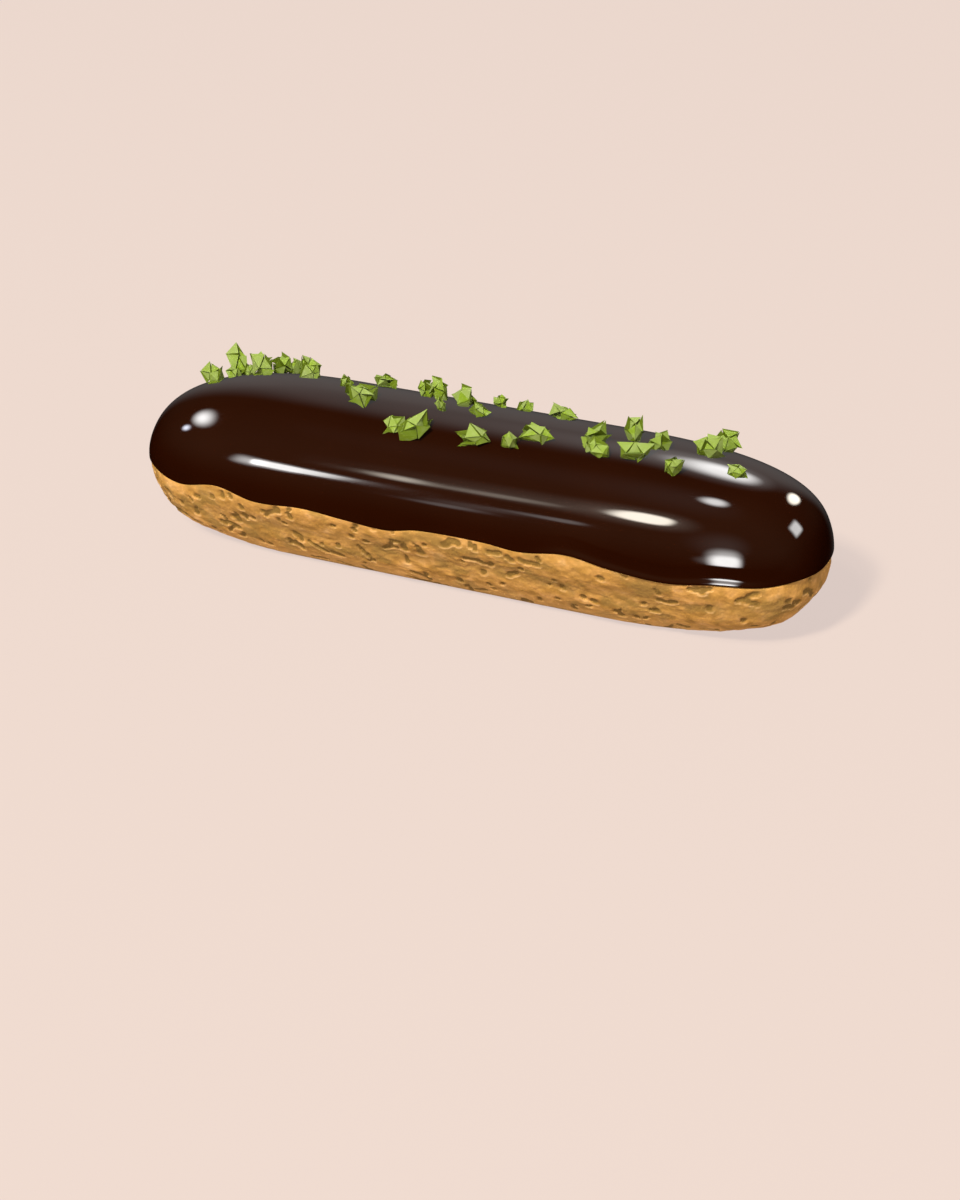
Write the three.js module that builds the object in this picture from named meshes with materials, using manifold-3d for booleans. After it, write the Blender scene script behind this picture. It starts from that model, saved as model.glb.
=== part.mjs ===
// Chocolate eclair: a baked choux finger with a poured chocolate glaze over its
// upper half and chopped pistachios along its top.
// Millimetres, +Z up. The eclair lies along X with its front towards -Y, and the
// origin is on the table under its middle.

import * as THREE from 'three';
import { mergeVertices } from 'three/addons/utils/BufferGeometryUtils.js';
import Module from 'manifold-3d';

const wasm = await Module();
wasm.setup();

// Driving dimensions
const LENGTH = 140;
const WIDTH = 38.5;
const HEIGHT = 33.6;
const WIDEST_LEVEL = 15.8;
const BASE_FLATTENING = 0.3;
const GLAZE_ON_TOP = 1.8;
const GLAZE_AT_LIP = 1.0;
const GLAZE_FULL_ABOVE = 10;
const GLAZE_GAP = 0.3;
const NUT_SUNK = 0.8;

// The ends round off over these lengths. Powers say how square each outline is
// there: 2 is an ellipse, more is blunter.
const END_LENGTH = { left: 41.5, right: 49 };
const PLAN_POWER = { left: 2.5, right: 2.9 };
const TOP_POWER = { left: 2.4, right: 3.1 };
const UNDER_POWER = { left: 3.15, right: 3.05 };
const SECTION_ABOVE = 2;
const RISE_TO_RIGHT = 0.027;

// Below its widest level the side leans in, slowly at first, and then turns under
// round a corner: the higher its power, the tighter. Shares of the level's depth.
// Towards the tips the section becomes a plain rounded one.
const WALL_LEAN = 0.49;
const LEAN_START = 0.15;
const CORNER_POWER = 7;
const TIP_POWER = 2.6;
const PLAIN = { from: 42, at: 64 };

// The side draws in a little below the glaze and swells again lower down
const WAIST = { depth: 0.28, level: 10.6, spread: 2.3 };
const SWELL = { depth: 0.2, level: 7, spread: 2.4 };

// A bead runs along the glaze's edge. It is fullest on the right, and falls away
// towards the left and the right tip. Heights are above the edge.
const LIP_PROUD = 0.3;
const LIP_LEAST = 0.25;
const LIP_GROWS = { from: 16, to: 36 };
const LIP_FADES = { from: 56, to: 67 };
const LIP_FOOT = 0.15;
const LIP_TOP = 1.45;

// The lower edge of the glaze: [place along X, height above the table]
const FRONT_EDGE = [
  [-67, 14.7], [-57.5, 14.4], [-48, 16.7], [-39, 15.4], [-29, 16.1], [-20, 15.5], [-11, 15.0],
  [-4, 16.3], [9, 16.5], [16.5, 16.0], [26, 17.2], [34.5, 16.0], [45, 15.0], [54, 15.7], [62, 15.5],
  [68.5, 16.1],
];
const BACK_EDGE = [
  [64, 15.9], [53, 15.0], [41, 16.3], [29, 15.4], [18, 16.8], [5, 16.0], [-8, 15.1],
  [-20, 16.5], [-33, 15.3], [-45, 16.6], [-60, 15.2],
];
const TIP_EDGE = { left: 14.8, right: 15.5 };

// Chopped pistachios: [along X, across Y, length, height above the glaze]
const NUTS = [
  [-57.5, 1, 4.2, 3.7], [-54, 5, 4, 5.6], [-54.5, 3, 2.5, 2], [-51.3, 4, 2.4, 2.2],
  [-48, 3.8, 4, 4.2], [-45.5, 6.5, 4.5, 3.6], [-43.3, 7.5, 3, 2.6], [-41, 8, 3, 3.2],
  [-37.5, 4, 4, 3.4], [-29, 2, 2.6, 1.9], [-23.5, -2.9, 5.4, 3.6], [-22.5, 6, 4.6, 2.6],
  [-13.6, -8.5, 4.6, 2.2], [-9.2, -9, 5.6, 3.4], [-12.7, 4, 3.2, 3.2], [-10, 3.6, 3.4, 4],
  [-7.1, -1.5, 2.4, 2.4], [-4.4, 2.6, 4.2, 3.6], [0.5, -0.8, 3.6, 2.2], [1.8, 5.8, 2.8, 2.2],
  [2.9, -8.3, 6.6, 2.5], [6.9, 6.1, 2.8, 2.2], [10.4, -8.3, 2.8, 3.4], [14.2, -5.2, 5.8, 2.6],
  [15, 5.6, 6, 2.4], [25.6, -3.2, 5.6, 3], [26.8, -6.2, 4.8, 2.4], [31.5, -0.1, 3.3, 4.6],
  [33.8, -5, 6, 3], [37.6, -1.4, 4.4, 3.4], [42.4, -7, 3.2, 3.2], [46.2, 0.2, 5.2, 3.8],
  [47.6, 5.6, 4.5, 3.4], [53, -3.4, 4, 2],
];
const NUT_SEED = 7;

// How uneven a nut is: its corners' reach, its width as a share of its length, and
// the most that it is turned on its seat, in radians
const NUT_REACH = { low: 0.7, high: 1.2 };
const NUT_WIDTH = { low: 0.6, high: 0.85 };
const NUT_SPIN = 0.4;

// The crust lies a little inside the form. The form's foot lies below the table, so
// the underside is cut flat there. The pits are within these levels.
const CRUST_INSET = 0.12;
const FOOT_LEVEL = -0.15;
const LOWEST_RELIEF = 0.5;
const PIT_COUNT = 110;
const PIT_RADIUS = { low: 1.6, high: 2.8 };
const PIT_DEPTH = { low: 0.3, high: 0.6 };
const PIT_LEVEL = { low: 2, high: 14 };
const PIT_INSET = { low: 0.9, high: 1 };
const PIT_SEED = 21;

// Where the two meet, as [height above the glaze's edge, amount out from the form]:
// the crust's open side ends just below the edge and tucks in under the lip, and the
// lip's heel stays clear of it. Over them, rows rise from these heights to the top.
const CRUST_TOP = -1.5;
const CRUST_TUCK = [[CRUST_TOP, -CRUST_INSET], [-0.35, -0.42], [0.35, -0.95]];
const LIP_FRONT = [0, -0.1];
const LIP_HEEL = [[0.35, -0.6], LIP_FRONT];
const SKIN_START = 3.2;
const INSIDE_START = 1.2;

// Steps round the outline and up the sides, and how closely places are searched for
const MERIDIANS = 120;
const OUTER_ROWS = 7;
const INNER_ROWS = 4;
const SIDE_ROWS = 13;
const MEDIAL_SHARE = 0.75;
const OUTLINE_STEPS = 4000;
const HALVINGS = 40;
const LEVEL_ROUNDS = 6;
const MERGE_WITHIN = 1e-3;

const half = LENGTH / 2;
const topRise = HEIGHT - WIDEST_LEVEL;
const underDrop = WIDEST_LEVEL + BASE_FLATTENING;
const wholeTurn = 2 * Math.PI;
const { clamp, smoothstep } = THREE.MathUtils;

// Repeatable random numbers from 0 to 1
function makeDraw(seed) {
  let state = seed;
  return () => {
    state = (state * 1664525 + 1013904223) % 4294967296;
    return state / 4294967296;
  };
}

const between = (range, share) => range.low + (range.high - range.low) * share;

// A value that is 1 along the middle and falls to 0 at the tips
function fade(x, power) {
  const side = x < 0 ? 'left' : 'right';
  const end = END_LENGTH[side];
  const share = clamp((Math.abs(x) - half + end) / end, 0, 1);
  return (1 - share ** power[side]) ** (1 / power[side]);
}

const halfWidthAt = (x) => (WIDTH / 2) * fade(x, PLAN_POWER);
const riseAt = (x) => topRise * (1 + RISE_TO_RIGHT * x / half) * fade(x, TOP_POWER);
const dropAt = (x) => underDrop * fade(x, UNDER_POWER);

// The section's share of its full width, from its widest level at 0 to its foot at 1
function lowerShare(x, depth) {
  if (depth >= 1) return 0;
  const lean = WALL_LEAN * (Math.hypot(depth, LEAN_START) - LEAN_START);
  const leaning = (1 - lean) * (1 - depth ** CORNER_POWER) ** (1 / CORNER_POWER);
  const plain = (1 - depth ** TIP_POWER) ** (1 / TIP_POWER);
  return leaning + (plain - leaning) * smoothstep(Math.abs(x), PLAIN.from, PLAIN.at);
}

function insideEclair(x, y, z) {
  if (Math.abs(x) >= half) return false;
  const share = Math.abs(y) / halfWidthAt(x);
  if (z < WIDEST_LEVEL) return share < lowerShare(x, (WIDEST_LEVEL - z) / dropAt(x));
  return share ** SECTION_ABOVE + ((z - WIDEST_LEVEL) / riseAt(x)) ** SECTION_ABOVE < 1;
}

// Height of the glaze over a place on the plan
function topHeight(x, y) {
  const share = Math.abs(y) / halfWidthAt(x);
  return WIDEST_LEVEL + riseAt(x) * (1 - share ** SECTION_ABOVE) ** (1 / SECTION_ABOVE);
}

// The plan outline in fine steps, with its length from the left tip. The back half
// mirrors the front half, so its points match on the ridge.
function planOutline() {
  const fine = [];
  for (let i = 0; i <= OUTLINE_STEPS; i += 1) {
    const x = -half * Math.cos((i / OUTLINE_STEPS) * Math.PI);
    const y = -halfWidthAt(x);
    const last = fine[i - 1];
    fine.push({ x, y, arc: last ? last.arc + Math.hypot(x - last.x, y - last.y) : 0 });
  }
  return fine;
}

const frontOutline = planOutline();
const perimeter = 2 * frontOutline[frontOutline.length - 1].arc;

function outlineAtArc(arc) {
  const mirrored = arc > perimeter / 2;
  const frontArc = mirrored ? perimeter - arc : arc;
  const after = Math.max(1, frontOutline.findIndex((point) => point.arc >= frontArc - 1e-9));
  const [a, b] = [frontOutline[after - 1], frontOutline[after]];
  const share = (frontArc - a.arc) / (b.arc - a.arc);
  const y = a.y + (b.y - a.y) * share;
  return { x: a.x + (b.x - a.x) * share, y: mirrored ? -y : y };
}

function arcAtPlace(x, side) {
  const near = (best, point) => (Math.abs(point.x - x) < Math.abs(best.x - x) ? point : best);
  const frontArc = frontOutline.reduce(near).arc;
  return side < 0 ? frontArc : perimeter - frontArc;
}

// The glaze's edge as a smooth closed wave through its points
const edgeKnots = [
  { arc: 0, level: TIP_EDGE.left },
  ...FRONT_EDGE.map(([x, level]) => ({ arc: arcAtPlace(x, -1), level })),
  { arc: arcAtPlace(half, -1), level: TIP_EDGE.right },
  ...BACK_EDGE.map(([x, level]) => ({ arc: arcAtPlace(x, 1), level })),
];

function knot(i) {
  const count = edgeKnots.length;
  const wrapped = edgeKnots[((i % count) + count) % count];
  return { arc: wrapped.arc + Math.floor(i / count) * perimeter, level: wrapped.level };
}

function edgeLevel(arc) {
  let i = 0;
  while (knot(i + 1).arc < arc) i += 1;
  const [a, b, c, d] = [knot(i - 1), knot(i), knot(i + 1), knot(i + 2)];
  const span = c.arc - b.arc;
  const t = (arc - b.arc) / span;
  const slopeB = ((c.level - a.level) / (c.arc - a.arc)) * span;
  const slopeC = ((d.level - b.level) / (d.arc - b.arc)) * span;
  return (2 * t ** 3 - 3 * t ** 2 + 1) * b.level + (t ** 3 - 2 * t ** 2 + t) * slopeB
    + (3 * t ** 2 - 2 * t ** 3) * c.level + (t ** 3 - t ** 2) * slopeC;
}

// Each meridian starts on the middle line and goes out to the plan outline.
// Rays in its plane, tilted from straight down to straight up, find the surface.
const meridians = [];
for (let i = 0; i < MERIDIANS; i += 1) {
  const arc = (i / MERIDIANS) * perimeter;
  const tip = outlineAtArc(arc);
  const baseX = tip.x * MEDIAL_SHARE;
  const reach = Math.hypot(tip.x - baseX, tip.y);
  meridians.push({
    baseX,
    outX: (tip.x - baseX) / reach,
    outY: tip.y / reach,
    edge: edgeLevel(arc),
  });
}

function surfaceReach(meridian, tilt) {
  const out = Math.cos(tilt);
  const up = Math.sin(tilt);
  let low = 0;
  let high = half;
  for (let i = 0; i < HALVINGS; i += 1) {
    const r = (low + high) / 2;
    const x = meridian.baseX + r * out * meridian.outX;
    if (insideEclair(x, r * out * meridian.outY, WIDEST_LEVEL + r * up)) low = r;
    else high = r;
  }
  return low;
}

function tiltForLevel(meridian, level) {
  let tilt = 0;
  for (let i = 0; i < LEVEL_ROUNDS; i += 1) {
    tilt = Math.asin(clamp((level - WIDEST_LEVEL) / surfaceReach(meridian, tilt), -1, 1));
  }
  return tilt;
}

// A point on the meridian, moved out by the given amount and kept above the table
function surfacePoint(meridian, tilt, outBy) {
  let r = surfaceReach(meridian, tilt) + outBy;
  if (tilt < 0) r = Math.min(r, WIDEST_LEVEL / Math.sin(-tilt));
  const out = r * Math.cos(tilt);
  return new THREE.Vector3(
    meridian.baseX + out * meridian.outX,
    out * meridian.outY,
    WIDEST_LEVEL + r * Math.sin(tilt),
  );
}

// Heights here are above the glaze's edge
const heightOf = (meridian, tilt) => (
  WIDEST_LEVEL + surfaceReach(meridian, tilt) * Math.sin(tilt) - meridian.edge
);

function glazeThickness(height) {
  const share = smoothstep(height, 0, GLAZE_FULL_ABOVE);
  return GLAZE_AT_LIP + (GLAZE_ON_TOP - GLAZE_AT_LIP) * share;
}

// The bead's height at its fullest, at this place along X
function beadAt(x) {
  const grown = smoothstep(x, LIP_GROWS.from, LIP_GROWS.to);
  const faded = smoothstep(x, LIP_FADES.from, LIP_FADES.to);
  return LIP_PROUD * (LIP_LEAST + (1 - LIP_LEAST) * (grown - faded));
}

// A row of points at one height, moved out by an amount
const levelRow = ([height, outBy]) => (meridian) => (
  surfacePoint(meridian, tiltForLevel(meridian, meridian.edge + height), outBy)
);

// The row along the crest of the bead
function crestRow(meridian) {
  const tilt = tiltForLevel(meridian, meridian.edge + LIP_FOOT);
  return surfacePoint(meridian, tilt, beadAt(surfacePoint(meridian, tilt, 0).x));
}

// Rows from a height above the edge to just under the ridge
function risingRows(startHeight, rows, outBy) {
  const list = [];
  for (let row = 0; row < rows; row += 1) {
    list.push((meridian) => {
      const start = tiltForLevel(meridian, meridian.edge + startHeight);
      const tilt = start + (Math.PI / 2 - start) * (row / rows);
      return surfacePoint(meridian, tilt, outBy(heightOf(meridian, tilt)));
    });
  }
  return list;
}

const ridgeAbove = (outBy) => (meridian) => surfacePoint(meridian, Math.PI / 2, outBy);
const ridgeBelow = (meridian) => surfacePoint(meridian, -Math.PI / 2, 0);

// Joins rows of points, each all round the outline, into one skin. On a ridge the
// front and back of the outline share their points, which merging makes one.
function skinRows(rows) {
  const grid = rows.map((row) => meridians.map(row));
  const positions = [];
  const push = (...points) => points.forEach((p) => positions.push(p.x, p.y, p.z));
  for (let row = 0; row + 1 < grid.length; row += 1) {
    for (let i = 0; i < MERIDIANS; i += 1) {
      const j = (i + 1) % MERIDIANS;
      const [a, b, c, d] = [grid[row][i], grid[row][j], grid[row + 1][j], grid[row + 1][i]];
      push(a, b, c);
      push(a, c, d);
    }
  }
  return positions;
}

// Merges shared corners and drops the flat slivers left where corners met
function closedGeometry(positions) {
  const loose = new THREE.BufferGeometry();
  loose.setAttribute('position', new THREE.Float32BufferAttribute(positions, 3));
  const merged = mergeVertices(loose, MERGE_WITHIN);
  const corners = merged.index.array;
  const kept = [];
  for (let i = 0; i < corners.length; i += 3) {
    const [a, b, c] = corners.slice(i, i + 3);
    if (a !== b && b !== c && c !== a) kept.push(a, b, c);
  }
  merged.setIndex(kept);
  return merged;
}

function toSolid(geometry) {
  return new wasm.Manifold(new wasm.Mesh({
    numProp: 3,
    vertProperties: new Float32Array(geometry.attributes.position.array),
    triVerts: new Uint32Array(geometry.index.array),
  }));
}

function toGeometry(solid) {
  const mesh = solid.getMesh();
  const geometry = new THREE.BufferGeometry();
  geometry.setAttribute('position', new THREE.Float32BufferAttribute(mesh.vertProperties, 3));
  geometry.setIndex([...mesh.triVerts]);
  geometry.computeVertexNormals();
  return geometry;
}

// Baked crust: shallow pits scattered over the side that shows
const pitDraw = makeDraw(PIT_SEED);
const pits = [];
for (let i = 0; i < PIT_COUNT; i += 1) {
  const rim = outlineAtArc(pitDraw() * perimeter);
  pits.push({
    x: rim.x * between(PIT_INSET, pitDraw()),
    y: rim.y * between(PIT_INSET, pitDraw()),
    z: between(PIT_LEVEL, pitDraw()),
    radius: between(PIT_RADIUS, pitDraw()),
    depth: between(PIT_DEPTH, pitDraw()),
  });
}

function pitDepth(point) {
  return pits.reduce((deepest, pit) => {
    const away = Math.hypot(point.x - pit.x, point.y - pit.y, point.z - pit.z) / pit.radius;
    return Math.max(deepest, pit.depth * Math.exp(-away * away));
  }, 0);
}

const hump = ({ depth, level, spread }, z) => depth * Math.exp(-(((z - level) / spread) ** 2));

// How far the crust lies out from the form at a point of its side
function crustRelief(point) {
  if (point.z < LOWEST_RELIEF) return 0;
  return hump(SWELL, point.z) - hump(WAIST, point.z) - pitDepth(point);
}

function makeChoux() {
  const under = (height) => -glazeThickness(height) - GLAZE_GAP;
  const sideRows = [];
  for (let row = 0; row < SIDE_ROWS; row += 1) {
    sideRows.push((meridian) => {
      const foot = tiltForLevel(meridian, FOOT_LEVEL);
      const top = tiltForLevel(meridian, meridian.edge + CRUST_TOP);
      const tilt = foot + (top - foot) * (row / SIDE_ROWS);
      const plain = surfacePoint(meridian, tilt, -CRUST_INSET);
      return surfacePoint(meridian, tilt, crustRelief(plain) - CRUST_INSET);
    });
  }
  const rows = [
    ridgeBelow,
    ...sideRows,
    ...CRUST_TUCK.map(levelRow),
    ...risingRows(INSIDE_START, INNER_ROWS, under),
    ridgeAbove(under(GLAZE_FULL_ABOVE)),
  ];
  return closedGeometry(skinRows(rows));
}

function makeGlazeShell() {
  const inner = (height) => -glazeThickness(height);
  const outside = [
    levelRow(LIP_FRONT),
    crestRow,
    levelRow([LIP_TOP, 0]),
    ...risingRows(SKIN_START, OUTER_ROWS, () => 0),
    ridgeAbove(0),
  ];
  const inside = [
    ridgeAbove(inner(GLAZE_FULL_ABOVE)),
    ...risingRows(INSIDE_START, INNER_ROWS, inner).reverse(),
    ...LIP_HEEL.map(levelRow),
  ];
  return closedGeometry([...skinRows(outside), ...skinRows(inside)]);
}

// A chopped nut starts as a twenty-sided ball with uneven corners
const golden = (1 + Math.sqrt(5)) / 2;
const ballCorners = [];
for (let axis = 0; axis < 3; axis += 1) {
  for (const one of [-1, 1]) {
    for (const two of [-golden, golden]) {
      const corner = [0, 0, 0];
      corner[(axis + 1) % 3] = one;
      corner[(axis + 2) % 3] = two;
      ballCorners.push(new THREE.Vector3(...corner));
    }
  }
}

const ballFaces = [];
for (let a = 0; a < ballCorners.length; a += 1) {
  for (let b = a + 1; b < ballCorners.length; b += 1) {
    for (let c = b + 1; c < ballCorners.length; c += 1) {
      const [p, q, r] = [ballCorners[a], ballCorners[b], ballCorners[c]];
      const sides = [p.distanceTo(q), q.distanceTo(r), r.distanceTo(p)];
      if (sides.every((side) => Math.abs(side - 2) < 0.01)) {
        const outward = q.clone().sub(p).cross(r.clone().sub(p)).dot(p) > 0;
        ballFaces.push(outward ? [a, b, c] : [a, c, b]);
      }
    }
  }
}

function makeNut(draw, along, across, long, tall) {
  const turn = new THREE.Euler(draw() * wholeTurn, draw() * wholeTurn, draw() * wholeTurn);
  const corners = ballCorners.map((corner) => (
    corner.clone().multiplyScalar(between(NUT_REACH, draw())).applyEuler(turn)
  ));
  const box = new THREE.Box3().setFromPoints(corners);
  const size = box.getSize(new THREE.Vector3());
  const middle = box.getCenter(new THREE.Vector3());
  const deep = long * between(NUT_WIDTH, draw());
  const stretch = new THREE.Vector3(long, deep, tall + NUT_SUNK).divide(size);
  const spin = (2 * draw() - 1) * NUT_SPIN;
  const step = 0.1;
  const normal = new THREE.Vector3(
    (topHeight(along - step, across) - topHeight(along + step, across)) / (2 * step),
    (topHeight(along, across - step) - topHeight(along, across + step)) / (2 * step),
    1,
  ).normalize();
  const straightUp = new THREE.Vector3(0, 0, 1);
  const upright = new THREE.Quaternion().setFromUnitVectors(straightUp, normal);
  const seat = new THREE.Vector3(along, across, topHeight(along, across));
  const placed = corners.map((corner) => corner.sub(middle).multiply(stretch)
    .add(new THREE.Vector3(0, 0, (tall - NUT_SUNK) / 2))
    .applyAxisAngle(straightUp, spin)
    .applyQuaternion(upright)
    .add(seat));
  const geometry = new THREE.BufferGeometry().setFromPoints(placed);
  geometry.setIndex(ballFaces.flat());
  return geometry;
}

function makeGlaze() {
  const draw = makeDraw(NUT_SEED);
  let solid = toSolid(makeGlazeShell());
  for (const [along, across, long, tall] of NUTS) {
    solid = solid.add(toSolid(makeNut(draw, along, across, long, tall)));
  }
  return toGeometry(solid);
}

const crust = new THREE.MeshStandardMaterial({ color: 0xc78b45, roughness: 0.75, metalness: 0 });
const chocolate = new THREE.MeshStandardMaterial({ color: 0x2c130a, roughness: 0.15, metalness: 0 });

const choux = new THREE.Mesh(makeChoux(), crust);
choux.name = 'choux_pastry';

const glaze = new THREE.Mesh(makeGlaze(), chocolate);
glaze.name = 'chocolate_glaze';

const eclair = new THREE.Group();
eclair.add(choux, glaze);

export default eclair;
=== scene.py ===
# Chocolate eclair: the baked choux, its glossy chocolate glaze and the chopped
# pistachios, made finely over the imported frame, with a floor, lights and a camera.
# Sizes in the form's section are in millimetres, as the frame was drawn; meshes are
# made in metres. The eclair lies along X with its front towards -Y.

import bpy
import math
import numpy as np
from mathutils import Matrix, Vector


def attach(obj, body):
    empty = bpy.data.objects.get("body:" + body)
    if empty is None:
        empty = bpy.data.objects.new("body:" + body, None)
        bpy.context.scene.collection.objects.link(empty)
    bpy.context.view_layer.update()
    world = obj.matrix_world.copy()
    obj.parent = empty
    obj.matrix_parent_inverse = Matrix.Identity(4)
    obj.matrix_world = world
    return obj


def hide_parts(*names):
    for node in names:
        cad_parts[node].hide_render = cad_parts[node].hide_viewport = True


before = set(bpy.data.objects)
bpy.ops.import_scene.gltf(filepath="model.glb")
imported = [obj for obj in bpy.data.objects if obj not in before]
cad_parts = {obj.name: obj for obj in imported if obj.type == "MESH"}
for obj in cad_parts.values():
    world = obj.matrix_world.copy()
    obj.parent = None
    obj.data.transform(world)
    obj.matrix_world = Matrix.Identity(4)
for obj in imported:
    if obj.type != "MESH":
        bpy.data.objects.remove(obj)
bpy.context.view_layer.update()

MM = 0.001

# Driving dimensions of the form
LENGTH = 140.0
WIDTH = 38.5
HEIGHT = 33.6
WIDEST_LEVEL = 15.8
BASE_FLATTENING = 0.3
GLAZE_ON_TOP = 1.8
GLAZE_AT_LIP = 1.0
GLAZE_FULL_ABOVE = 10.0
GLAZE_GAP = 0.3
NUT_SUNK = 0.8

# The ends round off over these lengths, left then right. Powers say how square
# each outline is there: 2 is an ellipse, more is blunter.
END_LENGTH = (41.5, 49.0)
PLAN_POWER = (2.5, 2.9)
TOP_POWER = (2.4, 3.1)
UNDER_POWER = (3.15, 3.05)
SECTION_ABOVE = 2.0
RISE_TO_RIGHT = 0.027

# Below its widest level the side leans in, slowly at first, and then turns under
# round a corner: the higher its power, the tighter. Shares of the level's depth.
# Towards the tips the section becomes a plain rounded one.
WALL_LEAN = 0.49
LEAN_START = 0.15
CORNER_POWER = 7.0
TIP_POWER = 2.6
PLAIN_FROM = 42.0
PLAIN_AT = 64.0

# The lower edge of the glaze: place along X, height above the table
FRONT_EDGE = [
    (-67, 14.7), (-57.5, 14.4), (-48, 16.7), (-39, 15.4), (-29, 16.1), (-20, 15.5),
    (-11, 15.0), (-4, 16.3), (9, 16.5), (16.5, 16.0), (26, 17.2), (34.5, 16.0),
    (45, 15.0), (54, 15.7), (62, 15.5), (68.5, 16.1),
]
BACK_EDGE = [
    (64, 15.9), (53, 15.0), (41, 16.3), (29, 15.4), (18, 16.8), (5, 16.0),
    (-8, 15.1), (-20, 16.5), (-33, 15.3), (-45, 16.6), (-60, 15.2),
]
TIP_EDGE_LEFT = 14.8
TIP_EDGE_RIGHT = 15.5

# Chopped pistachios: along X, across Y, length, height above the glaze
NUTS = [
    (-57.5, 1, 4.2, 3.7), (-54, 5, 4, 5.6), (-54.5, 3, 2.5, 2), (-51.3, 4, 2.4, 2.2),
    (-48, 3.8, 4, 4.2), (-45.5, 6.5, 4.5, 3.6), (-43.3, 7.5, 3, 2.6), (-41, 8, 3, 3.2),
    (-37.5, 4, 4, 3.4), (-29, 2, 2.6, 1.9), (-23.5, -2.9, 5.4, 3.6), (-22.5, 6, 4.6, 2.6),
    (-13.6, -8.5, 4.6, 2.2), (-9.2, -9, 5.6, 3.4), (-12.7, 4, 3.2, 3.2), (-10, 3.6, 3.4, 4),
    (-7.1, -1.5, 2.4, 2.4), (-4.4, 2.6, 4.2, 3.6), (0.5, -0.8, 3.6, 2.2), (1.8, 5.8, 2.8, 2.2),
    (2.9, -8.3, 6.6, 2.5), (6.9, 6.1, 2.8, 2.2), (10.4, -8.3, 2.8, 3.4), (14.2, -5.2, 5.8, 2.6),
    (15, 5.6, 6, 2.4), (25.6, -3.2, 5.6, 3), (26.8, -6.2, 4.8, 2.4), (31.5, -0.1, 3.3, 4.6),
    (33.8, -5, 6, 3), (37.6, -1.4, 4.4, 3.4), (42.4, -7, 3.2, 3.2), (46.2, 0.2, 5.2, 3.8),
    (47.6, 5.6, 4.5, 3.4), (53, -3.4, 4, 2),
]
NUT_SEED = 7

# How uneven a nut is: its corners' reach, its width as a share of its length, and the
# most that it is turned on its seat, in radians
NUT_REACH = (0.7, 1.2)
NUT_WIDTH = (0.6, 0.85)
NUT_SPIN = 0.4

# How finely each skin is divided: round the outline, then in rows from below to the top
CHOUX_ROUND = 1000
CHOUX_FOOT_ROWS = 5
CHOUX_SIDE_ROWS = 82
CHOUX_TUCK_ROWS = 4
CHOUX_TOP_ROWS = 6
GLAZE_ROUND = 640
GLAZE_LIP_ROWS = 26
GLAZE_TOP_ROWS = 70
GLAZE_INSIDE_ROWS = 12

# How closely the outline and the surface are worked out
OUTLINE_POINTS = 4001
HALVINGS = 40
LEVEL_ROUNDS = 6

HALF = LENGTH / 2
TOP_RISE = HEIGHT - WIDEST_LEVEL
UNDER_DROP = WIDEST_LEVEL + BASE_FLATTENING
MEDIAL_SHARE = 0.75
TURN = 2 * math.pi


class Draw:
    """Repeatable random numbers from 0 to 1. The solids' nuts were drawn with them too."""

    def __init__(self, seed):
        self.state = seed

    def __call__(self):
        self.state = (self.state * 1664525 + 1013904223) % 4294967296
        return self.state / 4294967296


def between(draw, low, high):
    return low + (high - low) * draw()


def smoothstep(x, low, high):
    """0 up to low, 1 from high on, and smooth in between."""
    t = np.clip((x - low) / (high - low), 0, 1)
    return t * t * (3 - 2 * t)


# The form, as functions of place in millimetres

def fade(x, powers):
    """1 along the middle, falling to 0 at the tips."""
    end = np.where(x < 0, END_LENGTH[0], END_LENGTH[1])
    power = np.where(x < 0, powers[0], powers[1])
    share = np.clip((np.abs(x) - HALF + end) / end, 0, 1)
    return (1 - share**power) ** (1 / power)


def half_width_at(x):
    return WIDTH / 2 * fade(x, PLAN_POWER)


def rise_at(x):
    return TOP_RISE * (1 + RISE_TO_RIGHT * x / HALF) * fade(x, TOP_POWER)


def lower_share(x, depth):
    """The section's share of its full width, from its widest level at 0 to its foot at 1."""
    depth = np.clip(depth, 0, 1)
    lean = WALL_LEAN * (np.hypot(depth, LEAN_START) - LEAN_START)
    leaning = (1 - lean) * (1 - depth**CORNER_POWER) ** (1 / CORNER_POWER)
    plain = (1 - depth**TIP_POWER) ** (1 / TIP_POWER)
    return leaning + (plain - leaning) * smoothstep(np.abs(x), PLAIN_FROM, PLAIN_AT)


def inside(x, y, z):
    wide = np.maximum(half_width_at(x), 1e-6)
    rise = np.maximum(rise_at(x), 1e-6)
    drop = np.maximum(UNDER_DROP * fade(x, UNDER_POWER), 1e-6)
    up = z - WIDEST_LEVEL
    above = (np.abs(y) / wide) ** SECTION_ABOVE + (np.abs(up) / rise) ** SECTION_ABOVE < 1
    below = np.abs(y) / wide < lower_share(x, -up / drop)
    return np.where(up >= 0, above, below) & (np.abs(x) < HALF)


def top_height(x, y):
    share = np.abs(y) / half_width_at(x)
    return WIDEST_LEVEL + rise_at(x) * (1 - share**SECTION_ABOVE) ** (1 / SECTION_ABOVE)


def front_outline():
    """The front half of the plan outline in fine steps, with its length from the left tip."""
    turn = np.linspace(0, math.pi, OUTLINE_POINTS)
    x = -HALF * np.cos(turn)
    y = -half_width_at(x)
    arc = np.concatenate([[0], np.cumsum(np.hypot(np.diff(x), np.diff(y)))])
    return x, y, arc


OUTLINE_X, OUTLINE_Y, OUTLINE_ARC = front_outline()
PERIMETER = 2 * OUTLINE_ARC[-1]


def outline_at(arc):
    mirrored = arc > PERIMETER / 2
    front_arc = np.where(mirrored, PERIMETER - arc, arc)
    x = np.interp(front_arc, OUTLINE_ARC, OUTLINE_X)
    y = np.interp(front_arc, OUTLINE_ARC, OUTLINE_Y)
    return x, np.where(mirrored, -y, y)


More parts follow.
